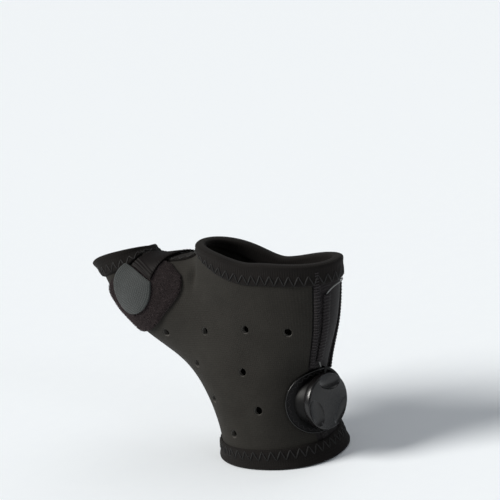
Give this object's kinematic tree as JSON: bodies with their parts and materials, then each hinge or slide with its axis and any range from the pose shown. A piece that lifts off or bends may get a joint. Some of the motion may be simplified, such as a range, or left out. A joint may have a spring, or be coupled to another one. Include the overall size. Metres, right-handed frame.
{
  "type": "thumb spica splint",
  "caption": "Open-ended thermoformed wrist, palm and thumb shell with knitted edging, a stretch gusset, a lace-tightening dial and a hook-and-loop thumb strap.",
  "frame": {"origin": "middle of the bounding box, on the flat wrist rim it stands on", "axes": "+Z from the wrist to the fingers, -Y the back of the hand, -X the thumb side, +X the little-finger side"},
  "size_m": [0.1388, 0.0566, 0.1018],
  "materials": {
    "laminate": "matte knit-faced thermoplastic laminate",
    "knit": "matte knitted edging",
    "stretch_knit": "matte stretch knit",
    "housing_plastic": "satin moulded plastic",
    "knob_plastic": "semi-gloss moulded plastic",
    "lace_cord": "braided cord",
    "loop_pile": "brushed loop pile",
    "hook_cloth": "woven hook tape",
    "satin_webbing": "satin weave"
  },
  "bodies": {
    "brace": {"shell": "laminate", "wrist_edging": "knit", "hand_edging": "knit", "thumb_edging": "knit", "web_edging": "knit", "ulnar_gusset": "stretch_knit", "opening_binding": "knit", "lace_tunnel_dorsal": "knit", "lace_tunnel_palmar": "knit", "dial_base": "housing_plastic", "lace": "lace_cord", "loop_patch": "loop_pile", "hook_tab": "hook_cloth", "thumb_strap": "satin_webbing"},
    "release": {"dial_post": "housing_plastic"},
    "knob": {"dial_knob": "knob_plastic"}
  },
  "joints": [
    {"name": "knob_release", "type": "slide", "parent": "brace", "child": "release", "axis": [0.9611, -0.2756, 0.0174], "range_m": [0, 0.0015]},
    {"name": "knob_turn", "type": "hinge", "parent": "release", "child": "knob", "pos_m": [0.05089, -0.00835, 0.0275], "axis": [0.9611, -0.2756, 0.0174], "continuous": true}
  ]
}
